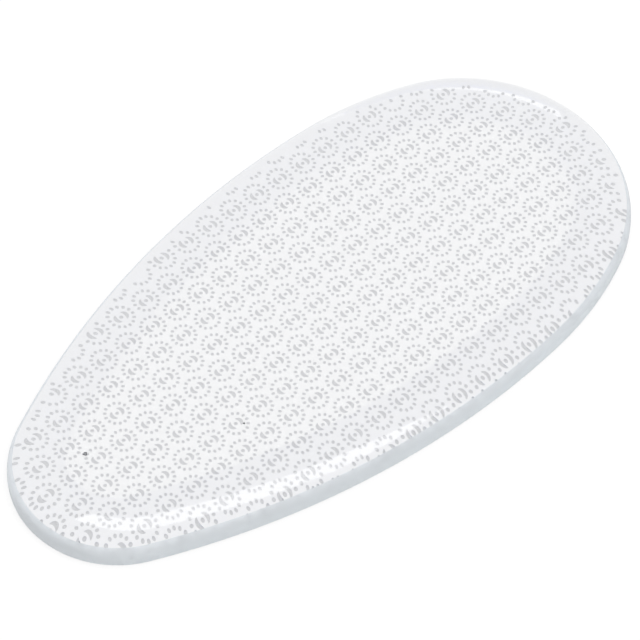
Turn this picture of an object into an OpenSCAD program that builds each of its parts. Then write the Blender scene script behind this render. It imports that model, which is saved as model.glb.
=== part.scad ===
// Glass foot file: one egg-shaped slab of clear glass with a broad, soft rounding.
// The underside is the filing face. It is etched with staggered rows of small rosettes,
// each a round dot between two half moons.
// Millimetres, +X towards the broad end, +Z up, origin at the middle of the underside.

/* [Outline] */
// Length from tip to broad end
file_length = 119.4; // [105:0.1:135]
// Radius of the broad end
end_radius = 26.4; // [24:0.1:28]
// Angle of the broad end's arc, each side of the long axis
end_angle = 67; // [62:0.5:72]
// Radius of the shoulder between the broad end and the long side
shoulder_radius = 62.8; // [50:0.1:80]
// Angle at which the shoulder turns into the long side
shoulder_angle = 85.2; // [82:0.1:88]
// Radius of the narrow tip
tip_radius = 17.1; // [14:0.1:20]

/* [Section] */
// Thickness of the glass
thickness = 5.1; // [4:0.1:7]
// Width of the rounding, from the edge to the flat top
round_width = 8.6; // [4:0.1:9]
// Height at which the edge starts to round over
wall_height = 0.5; // [0.5:0.1:2.5]
// Fullness of the rounding: 2 is a quarter of an ellipse, more is squarer
fullness = 3; // [2:0.1:3.5]
// Size of the small rounding along the lower edge
lower_round = 0.3; // [0.1:0.1:0.4]

/* [Rosettes] */
// Spacing of rosettes along a row
pitch = 5; // [4.5:0.1:7]
// Spacing of the rows
row_pitch = 4.5; // [4.2:0.1:7]
// Turn of the rows from the long axis, in degrees
pattern_turn = -1.2; // [-5:0.1:5]
// Place of one rosette along the file, from its middle
pattern_x = -1.75; // [-2.5:0.05:2.5]
// Place of one rosette across the file, from its middle
pattern_y = -2.5; // [-2.5:0.05:2.5]
// Depth of the etching
etch_depth = 0.15; // [0.1:0.05:0.3]
// Radius of the dot
dot_radius = 0.3; // [0.2:0.05:0.35]
// Distance from the rosette's middle to the back of a half moon
moon_reach = 1.25; // [1.15:0.05:1.6]
// Radius of a half moon's back
moon_radius = 0.8; // [0.6:0.05:0.9]
// Plain glass kept between the etching and the edge
margin = 2.4; // [0.8:0.1:3]

/* [Hidden] */

// How far the straight steps of a coarse preview may stray from an arc
stray = 0.15;
// Steps along the upper rounding
round_steps = 7;
// Steps along the lower rounding
lower_steps = 2;
// Each band along the edge holds the rounding and a flat strip of this width
strip = 2.5;
band = round_width + strip;
// The flat core reaches this far into the bands
core_lap = 2;
// A band runs on inside a wider one by this angle
lap = 6;
// A wider band is set in from a tighter one by this much
hair = 0.005;
// Angle of a half moon's back, each side of its middle, and the straight steps along it
moon_sweep = 80;
moon_steps = 3;
// Sides of the dot
dot_sides = 4;

// Unit vector at an angle
function ray(a) = [cos(a), sin(a)];
// Straight steps in a full circle of this radius
function circle_steps(r) = ceil(180 / acos(1 - stray / r));

// The outline is a closed chain of arcs that run smoothly into each other.
// The distance between the end centres follows from the length.
end_x = file_length / 2 - end_radius;
tip_x = tip_radius - file_length / 2;
end_centre = [end_x, 0];
shoulder_centre = end_centre + (end_radius - shoulder_radius) * ray(end_angle);

// The long side touches the shoulder at its angle and the tip, whose centre is on the axis:
// |side centre - tip centre| = side radius - tip radius gives the side radius.
to_tip = shoulder_centre + (shoulder_radius - tip_radius) * ray(shoulder_angle) - [tip_x, 0];
side_gain = (to_tip * to_tip) / (2 * to_tip * ray(shoulder_angle));
side_radius = tip_radius + side_gain;
side_centre = shoulder_centre + (shoulder_radius - side_radius) * ray(shoulder_angle);
tip_ray = [tip_x, 0] - side_centre;
tip_angle = atan2(tip_ray[1], tip_ray[0]);

// Each arc as centre, radius, angle where it starts and angle it spans
shoulder_arc = [shoulder_centre, shoulder_radius, end_angle, shoulder_angle - end_angle];
side_arc = [side_centre, side_radius, shoulder_angle, tip_angle - shoulder_angle];
end_arc = [end_centre, end_radius, -end_angle, 2 * end_angle];
tip_arc = [[tip_x, 0], tip_radius, tip_angle, 360 - 2 * tip_angle];
function mirrored(a) = [[a[0][0], -a[0][1]], a[1], -a[2] - a[3], a[3]];
arcs = [end_arc, shoulder_arc, side_arc, tip_arc, mirrored(side_arc), mirrored(shoulder_arc)];

// Distance from the edge to a point inside, by the arcs that face the point
function turned(a, start) = a - start - 360 * floor((a - start) / 360);
function faces(p, a) = turned(atan2(p[1] - a[0][1], p[0] - a[0][0]), a[2]) <= a[3];
function edge_distance(p) = min([for (a = arcs) if (faces(p, a)) a[1] - norm(p - a[0])]);

// Section of the slab from an inner to an outer radius: flat base, small lower rounding,
// short upright wall, then the rounding up to the flat top
round_height = thickness - wall_height;
function section(inner, outer) = concat(
    [[inner, 0]],
    [for (i = [0:lower_steps]) let (a = 90 * i / lower_steps)
        [outer - lower_round * (1 - sin(a)), lower_round * (1 - cos(a))]],
    [for (i = [0:round_steps - 1]) let (a = 90 * i / round_steps, k = 2 / fullness)
        [outer - round_width * (1 - pow(cos(a), k)), wall_height + round_height * pow(sin(a), k)]],
    [[outer - round_width, thickness], [inner, thickness]]);

// Band along an arc, run on past its start and end by two angles and set in from the edge
module edge_band(a, before, after, set_in) {
    translate([a[0][0], a[0][1], 0])
        rotate_extrude(start = a[2] - before, angle = a[3] + before + after,
                $fn = circle_steps(a[1]))
            polygon(section(a[1] - band, a[1] - set_in));
}

// Flat middle of the slab, lapped into the bands
module core() {
    inset = band - core_lap;
    points = [for (a = arcs) let (steps = ceil(a[3] / 360 * circle_steps(a[1])))
        for (i = [0:steps - 1]) a[0] + (a[1] - inset) * ray(a[2] + a[3] * i / steps)];
    linear_extrude(thickness)
        polygon(points);
}

// Where two arcs meet, the tighter band runs on inside the wider one, which is set in
// by a hair so that their surfaces cross cleanly
module slab() {
    core();
    edge_band(end_arc, lap, lap, 0);
    edge_band(tip_arc, lap, lap, 0);
    for (m = [0, 1])
        mirror([0, m, 0]) {
            edge_band(shoulder_arc, 0, lap, hair);
            edge_band(side_arc, 0, 0, 2 * hair);
        }
}

// One half moon, its flat side towards the rosette's middle
module half_moon() {
    translate([moon_reach - moon_radius, 0])
        polygon([for (i = [0:moon_steps]) moon_radius * ray(moon_sweep * (2 * i / moon_steps - 1))]);
}

module rosette() {
    circle(dot_radius, $fn = dot_sides);
    half_moon();
    mirror([1, 0])
        half_moon();
}

// Places of the rosettes: staggered rows, kept where a whole rosette clears the edge
reach_x = ceil(file_length / pitch);
reach_y = ceil(file_length / row_pitch / 2);
function place(i, j) = let (
        x = (i + (j % 2 == 0 ? 0 : 0.5)) * pitch,
        y = j * row_pitch,
        c = ray(pattern_turn)
    ) [pattern_x + x * c[0] - y * c[1], pattern_y + x * c[1] + y * c[0]];
places = [for (j = [-reach_y:reach_y]) for (i = [-reach_x:reach_x])
    let (p = place(i, j)) if (edge_distance(p) > moon_reach + margin) p];

module etching() {
    translate([0, 0, -etch_depth])
        linear_extrude(2 * etch_depth)
            for (p = places)
                translate(p)
                    rotate(pattern_turn)
                        rosette();
}

module glass_file() {
    color("lightcyan", 0.5)
        difference() {
            slab();
            etching();
        }
}

glass_file();
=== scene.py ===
"""Glass foot file: a clear egg-shaped slab lying on its etched face, on a pale studio floor."""
import math
import bmesh
import bpy
from mathutils import Matrix, Vector
from mathutils.geometry import delaunay_2d_cdt


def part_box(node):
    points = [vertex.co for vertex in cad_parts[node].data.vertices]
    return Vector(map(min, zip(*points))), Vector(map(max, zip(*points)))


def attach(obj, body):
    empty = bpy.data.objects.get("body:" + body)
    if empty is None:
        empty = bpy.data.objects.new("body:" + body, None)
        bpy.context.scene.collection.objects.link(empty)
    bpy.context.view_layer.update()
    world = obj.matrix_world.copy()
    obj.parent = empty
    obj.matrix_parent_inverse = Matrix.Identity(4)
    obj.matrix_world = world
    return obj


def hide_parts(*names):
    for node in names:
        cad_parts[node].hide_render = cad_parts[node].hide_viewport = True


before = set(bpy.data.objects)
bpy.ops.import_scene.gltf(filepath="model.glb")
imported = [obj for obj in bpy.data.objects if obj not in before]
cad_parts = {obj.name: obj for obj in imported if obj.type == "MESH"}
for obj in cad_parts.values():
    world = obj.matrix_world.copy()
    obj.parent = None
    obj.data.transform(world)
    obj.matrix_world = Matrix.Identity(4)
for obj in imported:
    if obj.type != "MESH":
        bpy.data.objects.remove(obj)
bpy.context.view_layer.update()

MM = 0.001
LOW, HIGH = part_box("glass_file")
LENGTH = HIGH[0] - LOW[0]
THICKNESS = HIGH[2] - LOW[2]

# Outline: a broad end, shoulders, long sides and a narrow tip, as arcs that run into each other
END_RADIUS = 26.4 * MM
END_ANGLE = math.radians(67)
SHOULDER_RADIUS = 62.8 * MM
SHOULDER_ANGLE = math.radians(85.2)
TIP_RADIUS = 17.1 * MM

# Edge: small lower rounding, short upright wall, then a broad rounding up to the flat top
ROUND_WIDTH = 8.6 * MM
WALL_HEIGHT = 0.5 * MM
FULLNESS = 3
LOWER_ROUND = 0.3 * MM
# The edge is set in by a hair, so that it stays inside the solid that it stands for
HAIR = 0.02 * MM
OUTLINE_STEP = 0.8 * MM
ROUND_STEPS = 36
LOWER_STEPS = 4
FLAT_RIM = 0.3 * MM
# The edge is ground to a satin up to this height, and polished above it
SATIN_HEIGHT = 3.6 * MM

# Rosettes: staggered rows, each a dot, two crescents and a ring of dashes
PITCH = 5 * MM
ROW_PITCH = 4.5 * MM
PATTERN_TURN = math.radians(-1.2)
PATTERN_PLACE = Vector((-1.75, -2.5)) * MM
ETCH_DEPTH = 0.03 * MM
# Plain glass between a mark and the edge
EDGE_BARE = 1.8 * MM
# A pit's floor, as a share of its mouth
FLOOR_SHARE = 0.4
DOT_RADIUS = 0.33 * MM
DOT_POINTS = 10
CRESCENT_REACH = 1.28 * MM
CRESCENT_RADIUS = 0.8 * MM
CRESCENT_SWEEP = math.radians(95)
CRESCENT_THICK = 0.64 * MM
BACK_POINTS = 10
FRONT_POINTS = 3
DASHES = 14
DASH_PLACE = 1.92 * MM
DASH_LENGTH = 0.68 * MM
DASH_WIDTH = 0.56 * MM
DASH_POINTS = 8

# Finish: how the glass bends light, and the height of fine bumps
GLASS_IOR = 1.52
BUMP_HEIGHT = 0.02 * MM

# Small flaws in the glass: how high they lie above the underside, and how flat they are
FLAW_HEIGHT = 0.5 * MM
FLAW_FLATNESS = 0.5
# Lumps round a flaw: how many, how high as a share of its radius, and their turn
FLAW_LUMPS = [(3, 0.18, 0), (5, 0.1, 1)]
# Each flaw: name, place in millimetres, radius and how pale
FLAWS = [
    ("flaw_left", (-45.3, 4.7), 0.36 * MM, 0.68),
    ("flaw_middle", (-23.5, -7.5), 0.17 * MM, 0.12),
]

# The photograph's view: where the camera stands and what it aims at
VIEW_AZIMUTH = math.radians(314.18)
VIEW_ELEVATION = math.radians(53.35)
VIEW_ROLL = math.radians(-2.82)
VIEW_DISTANCE = 525.3 * MM
VIEW_AIM = Vector((0.11, 0.24, 0)) * MM
LENS = 186.2
SENSOR = 36
NEAREST = 0.01
FARTHEST = 10

# Stage: the floor just under the slab, its own white and the share that takes light and shadow
FLOOR_HALF = 1.5
AIR_GAP = 0.05 * MM
FLOOR_OWN = 0.81
FLOOR_LIT = 0.3

# Light: all round, and from a strip lamp overhead that is turned about the upright
WORLD_LIGHT = 0.6
LAMP_PLACE = (0.15, -0.1, 0.75)
LAMP_WIDTH = 0.21
LAMP_LENGTH = 0.76
LAMP_TURN = math.radians(16)
LAMP_WATTS = 1.4
# How often light may turn on its way
TURNS = 24


def ray(angle):
    """Unit vector at an angle."""
    return Vector((math.cos(angle), math.sin(angle)))


def outline_arcs():
    """The outline as (centre, radius, start angle, span), once round from the broad end."""
    end_centre = Vector((LENGTH / 2 - END_RADIUS, 0))
    tip_centre = Vector((TIP_RADIUS - LENGTH / 2, 0))
    shoulder_centre = end_centre + (END_RADIUS - SHOULDER_RADIUS) * ray(END_ANGLE)
    to_tip = shoulder_centre + (SHOULDER_RADIUS - TIP_RADIUS) * ray(SHOULDER_ANGLE) - tip_centre
    side_radius = TIP_RADIUS + to_tip.dot(to_tip) / (2 * to_tip.dot(ray(SHOULDER_ANGLE)))
    side_centre = shoulder_centre + (SHOULDER_RADIUS - side_radius) * ray(SHOULDER_ANGLE)
    tip_ray = tip_centre - side_centre
    tip_angle = math.atan2(tip_ray.y, tip_ray.x)
    upper = [
        (shoulder_centre, SHOULDER_RADIUS, END_ANGLE, SHOULDER_ANGLE - END_ANGLE),
        (side_centre, side_radius, SHOULDER_ANGLE, tip_angle - SHOULDER_ANGLE),
    ]
    lower = [(Vector((c.x, -c.y)), r, -start - span, span) for c, r, start, span in reversed(upper)]
    end = (end_centre, END_RADIUS, -END_ANGLE, 2 * END_ANGLE)
    tip = (tip_centre, TIP_RADIUS, tip_angle, 2 * math.pi - 2 * tip_angle)
    return [end] + upper + [tip] + lower


ARCS = outline_arcs()


def edge_distance(point):
    """How far a point inside the outline lies from it."""
    found = []
    for centre, radius, start, span in ARCS:
        out = point - centre
        if (math.atan2(out.y, out.x) - start) % (2 * math.pi) <= span:
            found.append(radius - out.length)
    return min(found)


def outline_stations():
    """Places round the outline as (arc centre, arc radius, angle), evenly spaced."""
    stations = []
    for centre, radius, start, span in ARCS:
        steps = math.ceil(radius * span / OUTLINE_STEP)
        stations += [(centre, radius, start + span * i / steps) for i in range(steps)]
    return stations


def edge_profile():
    """The edge's section as (inset from the outline, height), from the underside to the top."""
    profile = []
    for i in range(LOWER_STEPS + 1):
        a = math.pi / 2 * i / LOWER_STEPS
        profile.append((HAIR + LOWER_ROUND * (1 - math.sin(a)), LOWER_ROUND * (1 - math.cos(a))))
    rise = THICKNESS - WALL_HEIGHT
    for i in range(ROUND_STEPS):
        a = math.pi / 2 * i / ROUND_STEPS
        inset = ROUND_WIDTH * (1 - math.cos(a) ** (2 / FULLNESS))
        profile.append((HAIR + inset, WALL_HEIGHT + rise * math.sin(a) ** (2 / FULLNESS)))
    profile.append((HAIR + ROUND_WIDTH, THICKNESS))
    profile.append((HAIR + ROUND_WIDTH + FLAT_RIM, THICKNESS))
    return profile


def dot_mark():
    """The round dot in the middle of a rosette."""
    return [DOT_RADIUS * ray(2 * math.pi * i / DOT_POINTS) for i in range(DOT_POINTS)]


def crescent_mark(side):
    """A crescent on one side of the dot: a round back and a slightly hollow front."""
    centre = CRESCENT_REACH - CRESCENT_RADIUS
    back = []
    for i in range(BACK_POINTS):
        turn = CRESCENT_SWEEP * (2 * i / (BACK_POINTS - 1) - 1)
        back.append(CRESCENT_RADIUS * ray(turn) + Vector((centre, 0)))
    tip = back[-1]
    hollow = CRESCENT_REACH - CRESCENT_THICK
    front = []
    for i in range(1, FRONT_POINTS + 1):
        t = 1 - 2 * i / (FRONT_POINTS + 1)
        front.append(Vector((hollow + (tip.x - hollow) * t * t, tip.y * t)))
    return [Vector((side * p.x, side * p.y)) for p in back + front]


def dash_mark(turn):
    """A short oval dash that points at the dot."""
    out = ray(turn)
    across = Vector((-out.y, out.x))
    points = []
    for i in range(DASH_POINTS):
        r = ray(2 * math.pi * (i + 0.5) / DASH_POINTS)
        points.append(out * (DASH_PLACE + r.x * DASH_LENGTH / 2) + across * (r.y * DASH_WIDTH / 2))
    return points


def rosette_marks():
    """One rosette's marks round its middle."""
    turns = [math.pi / 2 + 2 * math.pi * i / DASHES for i in range(DASHES)]
    return [dot_mark(), crescent_mark(1), crescent_mark(-1)] + [dash_mark(t) for t in turns]


def etched_marks():
    """All marks of the pattern that keep clear of the edge."""
    marks = []
    turn = Matrix.Rotation(PATTERN_TURN, 2)
    shapes = [[turn @ p for p in mark] for mark in rosette_marks()]
    columns = math.ceil(LENGTH / PITCH)
    # Half the width is under a third of the length
    rows = math.ceil(LENGTH / ROW_PITCH / 3)
    for row in range(-rows, rows + 1):
        for column in range(-columns, columns + 1):
            x = (column + (row % 2) / 2) * PITCH
            place = PATTERN_PLACE + turn @ Vector((x, row * ROW_PITCH))
            if place.length > LENGTH:
                continue
            for shape in shapes:
                mark = [place + p for p in shape]
                if min(edge_distance(p) for p in mark) > EDGE_BARE:
                    marks.append(mark)
    return marks


def cut_underside(rim, marks):
    """The flat underside with the marks as shallow pits: vertices, flat faces, pit faces and rim."""
    flat = list(rim)
    outlines = [list(range(len(rim)))]
    for mark in marks:
        outlines.append(list(range(len(flat), len(flat) + len(mark))))
        flat += mark
    points, _, triangles, came_from, _, inside = delaunay_2d_cdt(flat, [], outlines, 1, 1e-9)
    now_at = {old: new for new, olds in enumerate(came_from) for old in olds}
    verts = [(p.x, p.y, 0.0) for p in points]
    land = [t for t, owners in zip(triangles, inside) if owners == [0]]

    # Pits: sloping walls down to a smaller floor
    pits = []
    for outline in outlines[1:]:
        mouth = [now_at[i] for i in outline]
        middle = sum((flat[i] for i in outline), Vector((0, 0))) / len(outline)
        base = len(verts)
        for i in outline:
            p = middle + (flat[i] - middle) * FLOOR_SHARE
            verts.append((p.x, p.y, ETCH_DEPTH))
        n = len(mouth)
        for i in range(n):
            j = (i + 1) % n
            pits.append((mouth[i], mouth[j], base + j, base + i))
        pits.append(tuple(range(base, base + n)))
    return verts, land, pits, [now_at[i] for i in range(len(rim))]


def make_slab(clear, etched, ground):
    """The whole slab as one closed mesh: the etched underside, the edge and the top."""
    stations = outline_stations()
    profile = edge_profile()
    count = len(stations)
    rings = [[centre + (radius - inset) * ray(angle) for centre, radius, angle in stations]
             for inset, _ in profile]
    verts, land, pits, lower = cut_underside(rings[0], etched_marks())
    edge = []
    for ring, (_, height) in zip(rings[1:], profile[1:]):
        base = len(verts)
        verts += [(p.x, p.y, height) for p in ring]
        upper = [base + i for i in range(count)]
        for i in range(count):
            j = (i + 1) % count
            edge.append((lower[i], lower[j], upper[j], upper[i]))
        lower = upper
    top = [tuple(lower)]

    mesh = bpy.data.meshes.new("clear_slab")
    mesh.from_pydata(verts, [], land + top + edge + pits)
    # The etched pits take the material with painted shade: a grey that stands in for light the frost
    # turns away
    for material in (clear, etched, ground):
        mesh.materials.append(material)
    first_edge = len(land) + len(top)
    first_pit = first_edge + len(edge)
    satin_rings = sum(1 for _, height in profile if height <= SATIN_HEIGHT) - 1
    first_polished = first_edge + satin_rings * count
    for polygon in mesh.polygons:
        polygon.use_smooth = polygon.index >= first_edge
        if polygon.index >= first_pit:
            polygon.material_index = 1
        elif first_edge <= polygon.index < first_polished:
            polygon.material_index = 2
    mesh.validate()
    face_outward(mesh)
    return new_object("clear_slab", mesh)


def make_flaw(name, place, size, material):
    """A small flat crumb inside the glass, lumpy all round."""
    work = bmesh.new()
    bmesh.ops.create_icosphere(work, subdivisions=2, radius=size)
    for vert in work.verts:
        turn = math.atan2(vert.co.y, vert.co.x)
        vert.co *= 1 + sum(rise * math.sin(lumps * turn + shift) for lumps, rise, shift in FLAW_LUMPS)
        vert.co.z *= FLAW_FLATNESS
        vert.co += Vector((place[0] * MM, place[1] * MM, FLAW_HEIGHT))
    mesh = bpy.data.meshes.new(name)
    work.to_mesh(mesh)
    work.free()
    mesh.materials.append(material)
    return new_object(name, mesh)


def new_object(name, data):
    """An object with this data, in the scene."""
    made = bpy.data.objects.new(name, data)
    bpy.context.scene.collection.objects.link(made)
    return made


def face_outward(mesh):
    """Turns every face so that it looks out of the closed mesh."""
    work = bmesh.new()
    work.from_mesh(mesh)
    bmesh.ops.recalc_face_normals(work, faces=work.faces)
    work.to_mesh(mesh)
    work.free()


def new_material(name):
    """A material with its nodes, its links and its main shader."""
    material = bpy.data.materials.new(name)
    material.use_nodes = True
    nodes = material.node_tree.nodes
    shader = nodes["Principled BSDF"]
    return material, nodes, material.node_tree.links, shader


def new_glass(name):
    """A material as above that lets light through as the slab's glass does."""
    material, nodes, links, shader = new_material(name)
    shader.inputs["Transmission Weight"].default_value = 1
    shader.inputs["IOR"].default_value = GLASS_IOR
    return material, nodes, links, shader


def place_noise(nodes, links, scale, detail):
    """Noise that is fixed to the piece."""
    where = nodes.new("ShaderNodeTexCoord")
    noise = nodes.new("ShaderNodeTexNoise")
    noise.inputs["Scale"].default_value = scale
    noise.inputs["Detail"].default_value = detail
    links.new(where.outputs["Object"], noise.inputs["Vector"])
    return noise.outputs["Fac"]


def spread(nodes, links, value, low, high, start=0.0, end=1.0):
    """A value that runs from low to high while the given one runs from start to end."""
    reach = nodes.new("ShaderNodeMapRange")
    reach.inputs["From Min"].default_value = start
    reach.inputs["From Max"].default_value = end
    reach.inputs["To Min"].default_value = low
    reach.inputs["To Max"].default_value = high
    links.new(value, reach.inputs["Value"])
    return reach.outputs["Result"]


def two_tones(nodes, links, value, dark, pale, start=0.0, end=1.0):
    """A colour that runs from dark to pale while the value runs from start to end."""
    tone = nodes.new("ShaderNodeValToRGB")
    tone.color_ramp.elements[0].position = start
    tone.color_ramp.elements[0].color = dark
    tone.color_ramp.elements[1].position = end
    tone.color_ramp.elements[1].color = pale
    links.new(value, tone.inputs["Fac"])
    return tone.outputs["Color"]


def bumped(nodes, links, height, strength):
    """The normal of a surface with fine bumps."""
    bump = nodes.new("ShaderNodeBump")
    bump.inputs["Strength"].default_value = strength
    bump.inputs["Distance"].default_value = BUMP_HEIGHT
    links.new(height, bump.inputs["Height"])
    return bump.outputs["Normal"]


def clear_glass():
    """Polished clear glass: faint unevenness of the surface and a cool tint in depth."""
    material, nodes, links, shader = new_glass("clear_glass")
    shader.inputs["Base Color"].default_value = (1, 1, 1, 1)
    polish = place_noise(nodes, links, scale=900, detail=4)
    haze = spread(nodes, links, polish, low=0.0, high=0.06, start=0.45, end=0.8)
    links.new(haze, shader.inputs["Roughness"])
    wave = place_noise(nodes, links, scale=140, detail=1)
    links.new(bumped(nodes, links, wave, strength=0.04), shader.inputs["Normal"])
    depth = nodes.new("ShaderNodeVolumeAbsorption")
    depth.inputs["Color"].default_value = (0.74, 0.8, 0.92, 1)
    depth.inputs["Density"].default_value = 14
    links.new(depth.outputs["Volume"], nodes["Material Output"].inputs["Volume"])
    return material


def etched_glass_painted_shade():
    """Etched pits: the same glass with a fine frost, tinted grey as painted shade for the light that
    the frost turns away; the grey varies at random between two tones.
    """
    material, nodes, links, shader = new_glass("etched_glass_painted_shade")
    grain = place_noise(nodes, links, scale=9000, detail=3)
    links.new(spread(nodes, links, grain, low=0.25, high=0.5), shader.inputs["Roughness"])
    # These greys are painted shade, since the etched glass itself is clear; only their random spread
    # with the grain, the roughness and the bumps belong to the frost
    dark = (0.46, 0.465, 0.48, 1)
    pale = (0.62, 0.625, 0.64, 1)
    tone = two_tones(nodes, links, grain, dark, pale, start=0.3, end=0.7)
    links.new(tone, shader.inputs["Base Color"])
    links.new(bumped(nodes, links, grain, strength=0.3), shader.inputs["Normal"])
    return material


def ground_glass():
    """The ground lower edge: an even satin that blurs what is seen through it."""
    material, nodes, links, shader = new_glass("ground_glass")
    shader.inputs["Base Color"].default_value = (0.79, 0.86, 0.91, 1)
    grain = place_noise(nodes, links, scale=2500, detail=3)
    links.new(spread(nodes, links, grain, low=0.35, high=0.6), shader.inputs["Roughness"])
    return material


def dull_crumb(name, grey):
    """What a flaw is made of: an uneven dull grey."""
    material, nodes, links, shader = new_material(name + "_grey")
    shader.inputs["Roughness"].default_value = 0.8
    grain = place_noise(nodes, links, scale=12000, detail=2)
    dark = (0.6 * grey, 0.6 * grey, 0.62 * grey, 1)
    pale = (1.4 * grey, 1.4 * grey, 1.45 * grey, 1)
    links.new(two_tones(nodes, links, grain, dark, pale), shader.inputs["Base Color"])
    return material


def seen_directly(nodes, links):
    """1 on the way from the camera, mirrored or seen through glass too, and 0 for lighting rays."""
    path = nodes.new("ShaderNodeLightPath")
    last = path.outputs["Is Camera Ray"]
    for name in ("Is Glossy Ray", "Is Transmission Ray"):
        both = nodes.new("ShaderNodeMath")
        both.operation = "MAXIMUM"
        links.new(last, both.inputs[0])
        links.new(path.outputs[name], both.inputs[1])
        last = both.outputs[0]
    before = nodes.new("ShaderNodeMath")
    before.operation = "LESS_THAN"
    before.inputs[1].default_value = 0.5
    links.new(path.outputs["Diffuse Depth"], before.inputs[0])
    seen = nodes.new("ShaderNodeMath")
    seen.operation = "MULTIPLY"
    links.new(last, seen.inputs[0])
    links.new(before.outputs[0], seen.inputs[1])
    return seen.outputs[0]


def make_floor():
    """A pale floor: most of its white is its own, so that the object's shadow stays soft."""
    mesh = bpy.data.meshes.new("floor")
    signs = ((-1, -1), (1, -1), (1, 1), (-1, 1))
    corners = [(x * FLOOR_HALF, y * FLOOR_HALF, -AIR_GAP) for x, y in signs]
    mesh.from_pydata(corners, [], [(0, 1, 2, 3)])
    material = bpy.data.materials.new("pale_floor")
    material.use_nodes = True
    nodes = material.node_tree.nodes
    links = material.node_tree.links
    nodes.clear()
    lit = nodes.new("ShaderNodeBsdfDiffuse")
    lit.inputs["Color"].default_value = (FLOOR_LIT, FLOOR_LIT, FLOOR_LIT, 1)
    own = nodes.new("ShaderNodeEmission")
    own.inputs["Color"].default_value = (1, 1, 1, 1)
    strength = nodes.new("ShaderNodeMath")
    strength.operation = "MULTIPLY"
    strength.inputs[1].default_value = FLOOR_OWN
    links.new(seen_directly(nodes, links), strength.inputs[0])
    links.new(strength.outputs[0], own.inputs["Strength"])
    both = nodes.new("ShaderNodeAddShader")
    links.new(lit.outputs[0], both.inputs[0])
    links.new(own.outputs[0], both.inputs[1])
    out = nodes.new("ShaderNodeOutputMaterial")
    links.new(both.outputs[0], out.inputs["Surface"])
    mesh.materials.append(material)
    new_object("floor", mesh)


def make_world():
    """Plain pale surroundings, white where they are seen directly."""
    world = bpy.data.worlds.new("studio")
    bpy.context.scene.world = world
    world.use_nodes = True
    nodes = world.node_tree.nodes
    links = world.node_tree.links
    back = nodes["Background"]
    back.inputs["Color"].default_value = (1, 1, 1, 1)
    strength = spread(nodes, links, seen_directly(nodes, links), low=WORLD_LIGHT, high=1.0)
    links.new(strength, back.inputs["Strength"])


def make_lamp():
    """A soft rectangular lamp that points straight down."""
    light = bpy.data.lights.new("strip_light", "AREA")
    light.shape = "RECTANGLE"
    light.size = LAMP_WIDTH
    light.size_y = LAMP_LENGTH
    light.energy = LAMP_WATTS
    lamp = new_object("strip_light", light)
    lamp.location = LAMP_PLACE
    lamp.rotation_euler = (0, 0, LAMP_TURN)


def make_camera():
    """The camera where the photograph was taken from."""
    back = Vector((
        math.sin(VIEW_AZIMUTH) * math.cos(VIEW_ELEVATION),
        -math.cos(VIEW_AZIMUTH) * math.cos(VIEW_ELEVATION),
        math.sin(VIEW_ELEVATION),
    ))
    level = Vector((math.cos(VIEW_AZIMUTH), math.sin(VIEW_AZIMUTH), 0))
    upright = back.cross(level)
    up = upright * math.cos(VIEW_ROLL) + level * math.sin(VIEW_ROLL)
    right = up.cross(back)
    camera = new_object("camera", bpy.data.cameras.new("camera"))
    camera.data.lens = LENS
    camera.data.sensor_width = SENSOR
    camera.data.clip_start = NEAREST
    camera.data.clip_end = FARTHEST
    turn = Matrix((right, up, back)).transposed().to_4x4()
    camera.matrix_world = Matrix.Translation(VIEW_AIM + back * VIEW_DISTANCE) @ turn
    bpy.context.scene.camera = camera


make_camera()
bpy.context.scene.view_settings.view_transform = "Standard"
# Light that is trapped in the slab turns many times before it leaves through the edge
bpy.context.scene.cycles.max_bounces = TURNS
bpy.context.scene.cycles.glossy_bounces = TURNS
bpy.context.scene.cycles.transmission_bounces = TURNS
make_world()
make_floor()
make_lamp()
slab = make_slab(clear_glass(), etched_glass_painted_shade(), ground_glass())
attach(slab, "root")
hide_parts("glass_file")
for name, place, size, grey in FLAWS:
    flaw = make_flaw(name, place, size, dull_crumb(name, grey))
    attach(flaw, "root")
